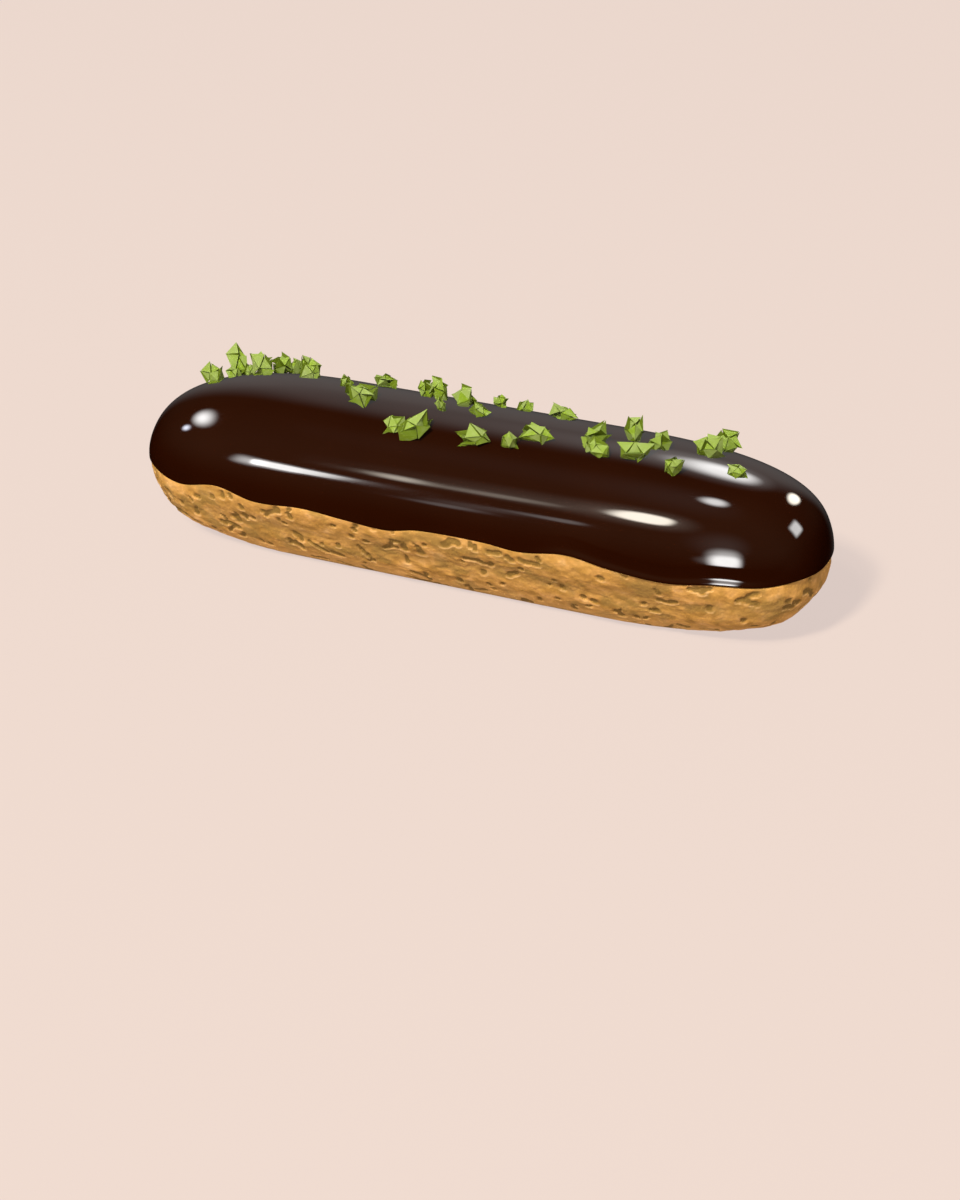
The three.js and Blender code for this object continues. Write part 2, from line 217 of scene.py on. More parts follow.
def arc_at_place(x, side):
    front_arc = float(np.interp(x, OUTLINE_X, OUTLINE_ARC))
    return front_arc if side < 0 else PERIMETER - front_arc


def edge_knots():
    knots = [(0.0, TIP_EDGE_LEFT)]
    knots += [(arc_at_place(x, -1), level) for x, level in FRONT_EDGE]
    knots += [(arc_at_place(HALF, -1), TIP_EDGE_RIGHT)]
    knots += [(arc_at_place(x, 1), level) for x, level in BACK_EDGE]
    return knots


def edge_level(arc):
    """The height of the glaze's edge, a smooth closed wave through its points."""
    knots = edge_knots()
    turns = [(a + lap * PERIMETER, level) for lap in (-1, 0, 1) for a, level in knots]
    arcs = np.array([a for a, _ in turns])
    levels = np.array([level for _, level in turns])
    slopes = np.zeros_like(levels)
    slopes[1:-1] = (levels[2:] - levels[:-2]) / (arcs[2:] - arcs[:-2])
    i = np.searchsorted(arcs, arc, side="left") - 1
    span = arcs[i + 1] - arcs[i]
    t = (arc - arcs[i]) / span
    return (
        (2 * t**3 - 3 * t**2 + 1) * levels[i]
        + (t**3 - 2 * t**2 + t) * slopes[i] * span
        + (3 * t**2 - 2 * t**3) * levels[i + 1]
        + (t**3 - t**2) * slopes[i + 1] * span
    )


# A bead runs along the glaze's edge, with a faint hollow and a soft ledge above it. They
# are fullest on the right and fall away towards the left and the right tip. Round the
# tips the bead stands out again, and is taller. Heights are above the edge.
LIP_PROUD = 0.3
LIP_LEAST = 0.25
LIP_GROWS = (16, 36)
LIP_FADES = (56, 67)
LIP_TIPS = (63, 69.5)
LIP_AT_TIPS = 0.85
LIP_TALLER_AT_TIPS = 5.0
LIP_FOOT = 0.15
LIP_TOP = 1.45
LEDGE_HEIGHT = 3.6
LEDGE_DEPTH = 0.16
LEDGE_ROUND = 0.8
HOLLOW_GROWS = (0.4, 2.2)


def ledge_fullness(x):
    return smoothstep(x, *LIP_GROWS) - smoothstep(x, *LIP_FADES)


def bead_at(x):
    along = LIP_LEAST + (1 - LIP_LEAST) * ledge_fullness(x)
    return LIP_PROUD * np.maximum(along, LIP_AT_TIPS * smoothstep(np.abs(x), *LIP_TIPS))


class Meridians:
    """Lines from the middle of the eclair out to its plan outline. Rays in their
    planes, tilted from straight down to straight up, find the surface."""

    def __init__(self, count):
        self.count = count
        self.arc = np.arange(count) / count * PERIMETER
        tip_x, tip_y = outline_at(self.arc)
        self.base_x = tip_x * MEDIAL_SHARE
        reach = np.hypot(tip_x - self.base_x, tip_y)
        self.out_x = (tip_x - self.base_x) / reach
        self.out_y = tip_y / reach
        self.edge = edge_level(self.arc)
        self.ledge = ledge_fullness(tip_x)
        self.bead = bead_at(tip_x)
        self.bead_top = LIP_TOP + LIP_TALLER_AT_TIPS * smoothstep(np.abs(tip_x), *LIP_TIPS)

    def straight(self, value):
        return np.full(self.count, value)

    def reach(self, tilt):
        out, up = np.cos(tilt), np.sin(tilt)
        low, high = np.zeros_like(tilt), np.full_like(tilt, HALF)
        for _ in range(HALVINGS):
            r = (low + high) / 2
            x = self.base_x + r * out * self.out_x
            hit = inside(x, r * out * self.out_y, WIDEST_LEVEL + r * up)
            low = np.where(hit, r, low)
            high = np.where(hit, high, r)
        return low

    def tilt_for_level(self, level):
        tilt = np.zeros(self.count)
        for _ in range(LEVEL_ROUNDS):
            tilt = np.arcsin(np.clip((level - WIDEST_LEVEL) / self.reach(tilt), -1, 1))
        return tilt

    def point(self, tilt, out_by):
        r = self.reach(tilt) + out_by
        down = np.maximum(np.sin(-tilt), 1e-9)
        r = np.where(tilt < 0, np.minimum(r, WIDEST_LEVEL / down), r)
        out = r * np.cos(tilt)
        x = self.base_x + out * self.out_x
        return np.stack([x, out * self.out_y, WIDEST_LEVEL + r * np.sin(tilt)], axis=1)

    def height_at(self, tilt):
        return WIDEST_LEVEL + self.reach(tilt) * np.sin(tilt) - self.edge

    def outward(self, points):
        """The way out from the middle of the eclair, for rows of points."""
        centre = np.stack([self.base_x, self.straight(0.0), self.straight(WIDEST_LEVEL)], axis=1)
        away = points - np.tile(centre, (len(points) // self.count, 1))
        return away / np.maximum(np.linalg.norm(away, axis=1), 1e-9)[:, None]


def glaze_thickness(height):
    return GLAZE_AT_LIP + (GLAZE_ON_TOP - GLAZE_AT_LIP) * smoothstep(height, 0, GLAZE_FULL_ABOVE)


# Meshes

WELD_STEPS = 1e4


def new_object(name, points_mm, faces, smooth):
    mesh = bpy.data.meshes.new(name)
    mesh.from_pydata((np.asarray(points_mm) * MM).tolist(), [], faces)
    mesh.update()
    mesh.polygons.foreach_set("use_smooth", [smooth] * len(mesh.polygons))
    piece = bpy.data.objects.new(name, mesh)
    bpy.context.scene.collection.objects.link(piece)
    return piece


def mark_points(piece, name, values):
    layer = piece.data.attributes.new(name, "FLOAT", "POINT")
    layer.data.foreach_set("value", np.asarray(values, dtype=np.float32))


def closed_skin(rows):
    """Joins rows of points, each all round the outline. The first and last rows lie
    on a ridge, where the front half meets the back half and the points are shared."""
    count = len(rows[0])
    faces = []
    for row in range(len(rows) - 1):
        for i in range(count):
            j = (i + 1) % count
            a, b = row * count, (row + 1) * count
            faces.append((a + i, a + j, b + j, b + i))
    return np.concatenate(rows), faces


def weld(points, faces, *values):
    """Merges points that lie together, to within a step, and drops the faces and corners
    that vanish. Each point's values go with it."""
    keys = np.round(points * WELD_STEPS).astype(np.int64)
    _, first, back = np.unique(keys, axis=0, return_index=True, return_inverse=True)
    back = back.reshape(-1)
    kept = []
    for face in faces:
        corners = []
        for corner in back[list(face)]:
            if corner not in corners:
                corners.append(int(corner))
        if len(corners) > 2:
            kept.append(corners)
    return points[first], kept, [value[first] for value in values]


def ramp_rows(lines, start, end, count, out_by):
    """Rows with the tilt stepped from start to end, ends included."""
    rows = []
    for share in np.linspace(0, 1, count):
        tilt = start + (end - start) * share
        rows.append(lines.point(tilt, out_by(lines.height_at(tilt))))
    return rows


# Relief of the crust

# Sets of waves, each with its height, seed, number, and longest and shortest length. The
# warp bends the finer bumps, and the drift moves the waist and the swell up and down.
BROAD_BUMPS = (0.12, 4, 14, 24, 9)
SMALL_BUMPS = (0.06, 5, 18, 6, 3)
FINE_BUMPS = (0.035, 6, 22, 2.6, 1.3)
WARP = [(1.6, seed, 8, 14, 7) for seed in (1, 2, 3)]
LEVEL_DRIFT = (0.9, 7, 8, 40, 14)

# The side draws in a little below the glaze and swells again lower down:
# depth, level and spread of each
WAIST = (0.36, 9.2, 2.1)
SWELL = (0.12, 5.4, 2.2)

# Steam pores, slots, dents and folds. Of each kind: how many, the least and most of its
# radius, length and depth, the way it runs from level, in radians, with how far that
# strays, and the radius at its upper end where it narrows. A pore may run any way.
MARKS = {
    "pore": {"count": 240, "radius": (0.34, 0.68), "length": (0.1, 0.7), "depth": (0.26, 0.48)},
    "slot": {
        "count": 70, "radius": (0.42, 0.66), "length": (1.4, 4.2), "depth": (0.24, 0.4),
        "runs": (0, 0.3),
    },
    "dent": {
        "count": 35, "radius": (0.65, 0.95), "length": (1.4, 2.6), "depth": (0.22, 0.34),
        "runs": (math.pi / 2, 0.2), "upper_radius": 0.25,
    },
    "fold": {
        "count": 50, "radius": (0.3, 0.45), "length": (2.5, 6.0), "depth": (0.05, 0.1),
        "runs": (0, 0.5),
    },
}
MARK_SEED = 21
MARK_LEVEL = (1.2, 15.6)
MARK_MARGIN = 2.5
RADIUS_UNEVEN = (0.85, 1.15)

# The path of a mark goes in steps of about this length, each of which turns a little
PATH_STEP = 0.8
PATH_TURN = 0.28
LEAST_STEP = 0.05

# The section of a mark, in its own radii from its path: its walls, which are steeper above,
# its bottom, painted dark as shade, and the middle and spread of its lower rim, painted pale as a
# highlight
WALL = (0.45, 1.5)
STEEPER_ABOVE = 0.35
STEEPNESS = (0.4, 1.4)
BOTTOM_EDGE = (0.7, 1.15)
BOTTOM_RAISED = 0.15
RIM_MIDDLE = 1.4
RIM_SPREAD = 0.3
RIM_PROUD = 0.07
MARK_STRENGTH = (0.75, 1.0)

# Marks and colours grow from nothing over the first of these levels above the table, and
# relief over the second. Just below the glaze they start faint.
TINT_GROWS = (0.15, 1.3)
RELIEF_GROWS = (0.3, 2.2)
FAINT_AT_LIP = 0.25
FULL_BELOW_LIP = 0.8


def waves(points, height, seed, count, longest, shortest):
    """Soft bumps, mostly within this height: small waves in mixed directions."""
    rng = np.random.default_rng(seed)
    total = np.zeros(len(points))
    for _ in range(count):
        direction = rng.normal(size=3)
        direction /= np.linalg.norm(direction)
        length = longest * (shortest / longest) ** rng.random()
        total += np.sin(points @ direction * (TURN / length) + rng.random() * TURN)
    return height * (total / math.sqrt(count))


def path_share(points, path, radii):
    """How far each point is from a path, and how far above it, in the path's radii there."""
    nearest, above = np.full(len(points), np.inf), np.zeros(len(points))
    for i in range(len(path) - 1):
        step = path[i + 1] - path[i]
        along = np.clip((points - path[i]) @ step / (step @ step), 0, 1)
        away = points - path[i] - along[:, None] * step
        radius = radii[i] + (radii[i + 1] - radii[i]) * along
        share = np.linalg.norm(away, axis=1) / radius
        above = np.where(share < nearest, away[:, 2] / radius, above)
        nearest = np.minimum(nearest, share)
    return nearest, above


class SideMap:
    """Places on the side of the pastry, by length round the outline and height."""

    def __init__(self, count, points):
        self.count = count
        self.grid = points.reshape(-1, count, 3)
        self.spacing = PERIMETER / count

    def place(self, arc, level):
        column = int(round(arc / self.spacing)) % self.count
        row = int(np.argmin(np.abs(self.grid[:, column, 2] - level)))
        return self.grid[row, column]

    def near(self, arc, reach):
        """The numbers of the points in the columns within reach of a place."""
        middle = int(round(arc / self.spacing))
        half = int(reach / self.spacing) + 2
        columns = np.arange(middle - half, middle + half + 1) % self.count
        rows = np.arange(len(self.grid))
        return (rows[:, None] * self.count + columns[None, :]).reshape(-1)


def wander(rng, side, arc, level, length, slant):
    """A slightly bent path on the side of the pastry."""
    steps = max(2, int(length / PATH_STEP) + 1)
    path = [side.place(arc, level)]
    heading = slant
    for _ in range(steps):
        heading += rng.normal() * PATH_TURN
        arc += math.cos(heading) * length / steps
        level += math.sin(heading) * length / steps
        point = side.place(arc, level)
        if np.linalg.norm(point - path[-1]) > LEAST_STEP:
            path.append(point)
    if len(path) < 2:
        path.append(path[0] + np.array([LEAST_STEP, 0, 0]))
    return np.array(path)


def draw_mark(rng, mark):
    """The length, slant, depth, and lower and upper radius of one mark."""
    radius = rng.uniform(*mark["radius"])
    length = rng.uniform(*mark["length"])
    if "runs" in mark:
        heading, stray = mark["runs"]
        slant = heading + rng.normal() * stray
    else:
        slant = rng.uniform(0, math.pi)
    return length, slant, rng.uniform(*mark["depth"]), radius, mark.get("upper_radius", radius)


def crust_marks(side, points):
    """The marks' inward depth in millimetres, and from 0 to 1 how much painted shade each place
    gets at a mark's bottom and how much painted highlight it gets on a mark's lower rim."""
    rng = np.random.default_rng(MARK_SEED)
    depth, dark, pale = np.zeros(len(points)), np.zeros(len(points)), np.zeros(len(points))
    for kind, mark in MARKS.items():
        for _ in range(mark["count"]):
            arc = rng.random() * PERIMETER
            level = between(rng.random, *MARK_LEVEL)
            length, slant, deep, lower_radius, upper_radius = draw_mark(rng, mark)
            near = side.near(arc, length + MARK_MARGIN)
            path = wander(rng, side, arc, level, length, slant)
            radii = np.linspace(lower_radius, upper_radius, len(path))
            radii *= rng.uniform(*RADIUS_UNEVEN, len(path))
            share, above = path_share(points[near], path, radii)
            steepness = np.clip(1 + STEEPER_ABOVE * above, *STEEPNESS)
            cut = 1 - smoothstep(share, *WALL)
            depth[near] = np.maximum(depth[near], deep * cut * steepness)
            if kind != "fold":
                strength = rng.uniform(*MARK_STRENGTH)
                # A mark's bottom is painted dark as shade, and its lower rim pale as a highlight
                bottom = 1 - smoothstep(share - BOTTOM_RAISED * above, *BOTTOM_EDGE)
                rim = np.exp(-(((share - RIM_MIDDLE) / RIM_SPREAD) ** 2)) * np.clip(-above, 0, 1)
                dark[near] = np.maximum(dark[near], bottom * strength)
                pale[near] = np.maximum(pale[near], rim * strength)
    return depth - RIM_PROUD * pale * (1 - dark), dark, pale


def hump(level, depth, middle, spread):
    return depth * np.exp(-(((level - middle) / spread) ** 2))


def crust_bumps(points):
    bent = points + np.stack([waves(points, *warp) for warp in WARP], axis=1)
    bumps = waves(points, *BROAD_BUMPS) + waves(bent, *SMALL_BUMPS) + waves(bent, *FINE_BUMPS)
    level = points[:, 2] + waves(points, *LEVEL_DRIFT)
    bumps += hump(level, *SWELL) - hump(level, *WAIST)
    return bumps


# Baked choux

# The crust lies a little inside the form. By height above the glaze's edge, it tucks in
# twice, by these amounts, and the rows of the tuck end at the last height. The rows of
# the side start at the foot's level.
CRUST_INSET = 0.12
FIRST_TUCK = 0.33
FIRST_TUCK_AT = (-0.06, 0.04)
SECOND_TUCK = 0.5
SECOND_TUCK_AT = (0.04, 0.35)
TUCKED_ABOVE = 0.45
FOOT_LEVEL = 0.12


def choux_offset(height):
    """How far the pastry lies out from the form, by height above the glaze's edge."""
    tuck = -CRUST_INSET - FIRST_TUCK * smoothstep(height, *FIRST_TUCK_AT)
    tuck -= SECOND_TUCK * smoothstep(height, *SECOND_TUCK_AT)
    under_glaze = -glaze_thickness(height) - GLAZE_GAP
    return np.where(height < SECOND_TUCK_AT[1], tuck, under_glaze)


def choux_rows(lines):
    """Rows from the middle of the underside to the top, and how many of them show."""
    top = lines.straight(math.pi / 2)
    foot = lines.tilt_for_level(lines.straight(FOOT_LEVEL))
    lip = lines.tilt_for_level(lines.edge + FIRST_TUCK_AT[0])
    tucked = lines.tilt_for_level(lines.edge + TUCKED_ABOVE)
    rows = ramp_rows(lines, -top, foot, CHOUX_FOOT_ROWS, choux_offset)
    rows += ramp_rows(lines, foot, lip, CHOUX_SIDE_ROWS, choux_offset)[1:]
    showing = len(rows)
    rows += ramp_rows(lines, lip, tucked, CHOUX_TUCK_ROWS, choux_offset)[1:]
    rows += ramp_rows(lines, tucked, top, CHOUX_TOP_ROWS, choux_offset)[1:]
    return rows, showing


def make_choux():
    lines = Meridians(CHOUX_ROUND)
    rows, showing = choux_rows(lines)
    points, faces = closed_skin(rows)
    shown = (np.arange(len(rows)) < showing).repeat(lines.count)
    below_lip = np.tile(lines.edge, len(rows)) - points[:, 2]
    tinted = shown * smoothstep(points[:, 2], *TINT_GROWS)
    tinted *= FAINT_AT_LIP + (1 - FAINT_AT_LIP) * smoothstep(below_lip, 0.0, FULL_BELOW_LIP)
    raised = tinted * smoothstep(points[:, 2], *RELIEF_GROWS)
    bumps = crust_bumps(points)
    depth, dark, pale = crust_marks(SideMap(lines.count, points), points)
    shift = (bumps - depth) * raised
    points = points + lines.outward(points) * shift[:, None]
    points[:, 2] = np.maximum(points[:, 2], 0)
    marks = {
        "dark": dark * tinted,
        "pale": pale * tinted,
        "swell": bumps * tinted,
        "below_lip": below_lip,
        "level": points[:, 2],
    }
    points, faces, kept = weld(points, faces, *marks.values())
    piece = new_object("baked_choux", points, faces, True)
    for name, values in zip(marks, kept):
        mark_points(piece, name, values)
    return piece


# Chocolate glaze

# The section of the glaze's edge, by height above its lowest line. The nose goes out from
# just inside the form to the bead, by these shares of the way. The heel comes back down
# inside, this far out from the form, from where the inner face starts.
NOSE = [(0.0, 0.0), (0.02, 0.33), (0.07, 0.57), (0.14, 0.8), (0.22, 0.93)]
NOSE_INSET = 0.1
NOSE_TOP = 0.3
INSIDE_START = 1.2
HEEL = [(0.35, -0.6), (0.1, -0.4), (0.02, -0.25), (0.0, -NOSE_INSET)]


def glaze_outside(height, lines):
    """The bead, and above it a faint hollow that ends in a soft ledge."""
    below = np.maximum(LEDGE_HEIGHT - height, 0)
    hollow = LEDGE_DEPTH * (1 - np.exp(-below / LEDGE_ROUND)) * smoothstep(height, *HOLLOW_GROWS)
    return lines.bead * (1 - smoothstep(height, LIP_FOOT, lines.bead_top)) - hollow * lines.ledge


def make_glaze():
    lines = Meridians(GLAZE_ROUND)
    rows = []
    for up, share in NOSE:
        tilt = lines.tilt_for_level(lines.edge + up)
        rows.append(lines.point(tilt, (lines.bead + NOSE_INSET) * share - NOSE_INSET))
    start = lines.tilt_for_level(lines.edge + NOSE_TOP)
    ledge = lines.tilt_for_level(lines.edge + LEDGE_HEIGHT)
    inside_start = lines.tilt_for_level(lines.edge + INSIDE_START)
    top = lines.straight(math.pi / 2)
    rows += ramp_rows(lines, start, ledge, GLAZE_LIP_ROWS, lambda up: glaze_outside(up, lines))
    rows += ramp_rows(lines, ledge, top, GLAZE_TOP_ROWS, lambda up: glaze_outside(up, lines))[1:]
    rows += ramp_rows(lines, inside_start, top, GLAZE_INSIDE_ROWS, lambda up: -glaze_thickness(up))[::-1]
    rows += [lines.point(lines.tilt_for_level(lines.edge + up), out) for up, out in HEEL]
    points, faces = closed_skin(rows)
    points, faces, _ = weld(points, faces)
    return new_object("glossy_glaze", points, faces, True)


# Chopped pistachios

BALL_EDGE = 2


def ball():
    """The corners and faces of a ball of 20 equal triangles."""
    golden = (1 + math.sqrt(5)) / 2
    corners = []
    for axis in range(3):
        for one in (-BALL_EDGE / 2, BALL_EDGE / 2):
            for two in (-golden, golden):
                corner = [0.0, 0.0, 0.0]
                corner[(axis + 1) % 3] = one
                corner[(axis + 2) % 3] = two
                corners.append(corner)
    corners = np.array(corners)
    faces = []
    for a in range(12):
        for b in range(a + 1, 12):
            for c in range(b + 1, 12):
                p, q, r = corners[a], corners[b], corners[c]
                sides = [np.linalg.norm(p - q), np.linalg.norm(q - r), np.linalg.norm(r - p)]
                if all(math.isclose(side, BALL_EDGE) for side in sides):
                    outward = np.dot(np.cross(q - p, r - p), p) > 0
                    faces.append((a, b, c) if outward else (a, c, b))
    return corners, faces


def turn_about(axis, angle):
    i, j = [(1, 2), (2, 0), (0, 1)][axis]
    matrix = np.eye(3)
    matrix[i, i] = matrix[j, j] = math.cos(angle)
    matrix[i, j] = -math.sin(angle)
    matrix[j, i] = math.sin(angle)
    return matrix


def upright_on(along, across):
    """The turn that stands a piece on the glaze at this place."""
    step = 0.1
    normal = np.array([
        (top_height(along - step, across) - top_height(along + step, across)) / (2 * step),
        (top_height(along, across - step) - top_height(along, across + step)) / (2 * step),
        1,
    ])
    normal /= np.linalg.norm(normal)
    side = np.cross([0, 0, 1], normal)
    cross = np.array([[0, -side[2], side[1]], [side[2], 0, -side[0]], [-side[1], side[0], 0]])
    return np.eye(3) + cross + cross @ cross / (1 + normal[2])


def nut_corners(draw, corners, along, across, long, tall):
    turn = turn_about(0, draw() * TURN)
    turn = turn_about(1, draw() * TURN) @ turn
    turn = turn_about(2, draw() * TURN) @ turn
    uneven = np.array([corner * between(draw, *NUT_REACH) for corner in corners]) @ turn.T
    low, high = uneven.min(axis=0), uneven.max(axis=0)
    wide = long * between(draw, *NUT_WIDTH)
    stretch = np.array([long, wide, tall + NUT_SUNK]) / (high - low)
    spin = turn_about(2, (2 * draw() - 1) * NUT_SPIN)
    shaped = (uneven - (low + high) / 2) * stretch + np.array([0, 0, (tall - NUT_SUNK) / 2])
    seat = np.array([along, across, top_height(along, across)])
    return shaped @ spin.T @ upright_on(along, across).T + seat


# Each flake's corners reach out by their own shares, slits part it from its
# neighbours, and a few flakes have broken off. Its outer face has a tone from 0 to 1, and its
# inner faces, in the slits, take a tone below 0 that paints them dark as shade.
FLAKE_SEED = 3
FLAKE_SHORT = 0.62
FLAKE_SPREAD = 0.74
SLIT = 0.16
LOST_FLAKES = 0.1
CRACK_SHADE_TONE = -1


def make_nuts():
    draw = Draw(NUT_SEED)
    flake = Draw(FLAKE_SEED)
    corners, faces = ball()
    points, wedges, tones = [], [], []
    for along, across, long, tall in NUTS:
        placed = nut_corners(draw, corners, along, across, long, tall)
        middle = placed.mean(axis=0)
        for face in faces:
            if flake() < LOST_FLAKES:
                continue
            rim = placed[list(face)]
            outer = [middle + (p - middle) * (FLAKE_SHORT + FLAKE_SPREAD * flake()) for p in rim]
            outer = outer + (np.mean(outer, axis=0) - outer) * SLIT * flake()
            at = len(points)
            points += [*outer, middle]
            wedges += [(at, at + 1, at + 2), (at + 1, at, at + 3)]
            wedges += [(at + 2, at + 1, at + 3), (at, at + 2, at + 3)]
            tones += [flake(), CRACK_SHADE_TONE, CRACK_SHADE_TONE, CRACK_SHADE_TONE]
    piece = new_object("chopped_pistachios", np.array(points), wedges, False)
    tone = piece.data.attributes.new("tone", "FLOAT", "FACE")
    tone.data.foreach_set("value", np.array(tones, dtype=np.float32))
    return piece


# Materials

# Colours, as linear red, green and blue. The crust's tans and the other two colours with
# places run from the first to the last as their noise or tone rises.
TANS = (
    (0.32, (0.372, 0.182, 0.031)),
    (0.46, (0.500, 0.249, 0.051)),
    (0.60, (0.612, 0.310, 0.078)),
    (0.74, (0.688, 0.378, 0.128)),
)
OLIVE_PATCH = (0.272, 0.158, 0.034)
BROWN_FLECK = (0.330, 0.170, 0.034)
# Painted shade for the hollows of the crust's relief
PAINTED_HOLLOW_SHADE = (0.300, 0.174, 0.042)
LIP_AMBER = (0.560, 0.272, 0.070)
# Painted highlight for the lower rims of the crust's marks
PAINTED_RIM_HIGHLIGHT = (0.740, 0.440, 0.175)
# Painted light for the lower side of the crust
PAINTED_LOW_LIGHT = (0.740, 0.400, 0.110)
# Painted shade for the bottoms of the crust's marks
PAINTED_PORE_SHADE = (0.200, 0.110, 0.021)
# Painted shade for the crust's foot, where it meets the table
PAINTED_FOOT_SHADE = (0.230, 0.125, 0.030)
CHOCOLATE = ((0.3, (0.0122, 0.0021, 0.0003)), (0.7, (0.0140, 0.0025, 0.0004)))
PISTACHIO = ((0.0, (0.176, 0.258, 0.010)), (1.0, (0.230, 0.292, 0.066)))
PISTACHIO_PALE = (0.275, 0.320, 0.125)
# Painted shade for the flakes' inner faces, in the slits
PISTACHIO_CRACK_SHADE = (0.090, 0.126, 0.005)


def new_material(name):
    material = bpy.data.materials.new(name)
    material.use_nodes = True
    tree = material.node_tree
    return material, tree.nodes, tree.links, tree.nodes["Principled BSDF"]


def noise(nodes, links, place, scale, detail=2.0, stretch=(1, 1, 1)):
    """Soft noise with about this many patches to the metre."""
    mapping = nodes.new("ShaderNodeMapping")
    mapping.inputs["Scale"].default_value = stretch
    links.new(place.outputs["Object"], mapping.inputs["Vector"])
    texture = nodes.new("ShaderNodeTexNoise")
    texture.inputs["Scale"].default_value = scale
    texture.inputs["Detail"].default_value = detail
    links.new(mapping.outputs["Vector"], texture.inputs["Vector"])
    return texture.outputs["Fac"]


def ramp(nodes, links, value, *stops):
    """The colour for a value, from pairs of place and colour."""
    node = nodes.new("ShaderNodeValToRGB")
    while len(node.color_ramp.elements) < len(stops):
        node.color_ramp.elements.new(0.5)
    for element, (position, colour) in zip(node.color_ramp.elements, stops):
        element.position = position
        element.color = (*colour, 1)
    links.new(value, node.inputs["Fac"])
    return node.outputs["Color"]


def spread(nodes, links, value, low, high, to_low=0.0, to_high=1.0):
    """Goes evenly from to_low at low to to_high at high, and no further."""
    node = nodes.new("ShaderNodeMapRange")
    node.inputs["From Min"].default_value = low
    node.inputs["From Max"].default_value = high
    node.inputs["To Min"].default_value = to_low
    node.inputs["To Max"].default_value = to_high
    links.new(value, node.inputs["Value"])
    return node.outputs["Result"]


def mix(nodes, links, factor, a, b):
    node = nodes.new("ShaderNodeMix")
    node.data_type = "RGBA"
    links.new(factor, node.inputs["Factor"])
    for source, socket in ((a, node.inputs[6]), (b, node.inputs[7])):
        if isinstance(source, tuple):
            socket.default_value = (*source, 1)
        else:
            links.new(source, socket)
    return node.outputs[2]


def attribute(nodes, name):
    node = nodes.new("ShaderNodeAttribute")
    node.attribute_name = name
    return node.outputs["Fac"]


def bump(nodes, links, height, distance, under=None):
    node = nodes.new("ShaderNodeBump")
    node.inputs["Strength"].default_value = 1.0
    node.inputs["Distance"].default_value = distance
    links.new(height, node.inputs["Height"])
    if under is not None:
        links.new(under, node.inputs["Normal"])
    return node.outputs["Normal"]


def crust_material():
    material, nodes, links, shader = new_material("baked_crust")
    shader.inputs["Roughness"].default_value = 0.62
    shader.inputs["Specular IOR Level"].default_value = 0.2
    place = nodes.new("ShaderNodeTexCoord")
    speckle = noise(nodes, links, place, 420, 3.0, (0.85, 0.9, 1))
    tan = ramp(nodes, links, speckle, *TANS)
    patches = noise(nodes, links, place, 240, 4.0, (0.75, 0.85, 1))
    olive = spread(nodes, links, patches, 0.50, 0.62, 0.0, 0.75)
    tan = mix(nodes, links, olive, tan, OLIVE_PATCH)
    fleck = spread(nodes, links, noise(nodes, links, place, 1000, 2.0), 0.40, 0.66, 0.0, 0.36)
    tan = mix(nodes, links, fleck, tan, BROWN_FLECK)
    # The relief's hollows, the waist among them, are painted darker as shade
    hollow = spread(nodes, links, attribute(nodes, "swell"), 0.0, -0.35, 0.0, 0.4)
    tan = mix(nodes, links, hollow, tan, PAINTED_HOLLOW_SHADE)
    by_lip = spread(nodes, links, attribute(nodes, "below_lip"), 2.2, 0.6, 0.0, 0.15)
    tan = mix(nodes, links, by_lip, tan, LIP_AMBER)
    # The marks' lower rims are painted pale cream as a highlight
    rim = spread(nodes, links, attribute(nodes, "pale"), 0.2, 0.9, 0.0, 0.7)
    tan = mix(nodes, links, rim, tan, PAINTED_RIM_HIGHLIGHT)
    # The lower side, from about 5 mm down, is painted lighter and more golden as light
    low = spread(nodes, links, attribute(nodes, "level"), 5.2, 1.8, 0.0, 0.5)
    tan = mix(nodes, links, low, tan, PAINTED_LOW_LIGHT)
    # The marks' bottoms are painted dark brown as shade
    pore = spread(nodes, links, attribute(nodes, "dark"), 0.1, 0.7, 0.0, 0.94)
    tan = mix(nodes, links, pore, tan, PAINTED_PORE_SHADE)
    # The lowest two millimetres are painted darker as contact shade
    foot = spread(nodes, links, attribute(nodes, "level"), 1.9, 0.7, 0.0, 0.85)
    tan = mix(nodes, links, foot, tan, PAINTED_FOOT_SHADE)
    links.new(tan, shader.inputs["Base Color"])
    grain = noise(nodes, links, place, 1500, 3.0)
    wrinkle = noise(nodes, links, place, 560, 2.0, (0.9, 0.9, 1))
    fine = bump(nodes, links, grain, 0.00014)
    links.new(bump(nodes, links, wrinkle, 0.0003, fine), shader.inputs["Normal"])
    return material


def glaze_material():
    material, nodes, links, shader = new_material("dark_chocolate")
    shader.inputs["IOR"].default_value = 1.5
    place = nodes.new("ShaderNodeTexCoord")
    cloud = noise(nodes, links, place, 60, 2.0)
    brown = ramp(nodes, links, cloud, *CHOCOLATE)
    links.new(brown, shader.inputs["Base Color"])
    links.new(spread(nodes, links, cloud, 0.3, 0.7, 0.045, 0.06), shader.inputs["Roughness"])
    return material


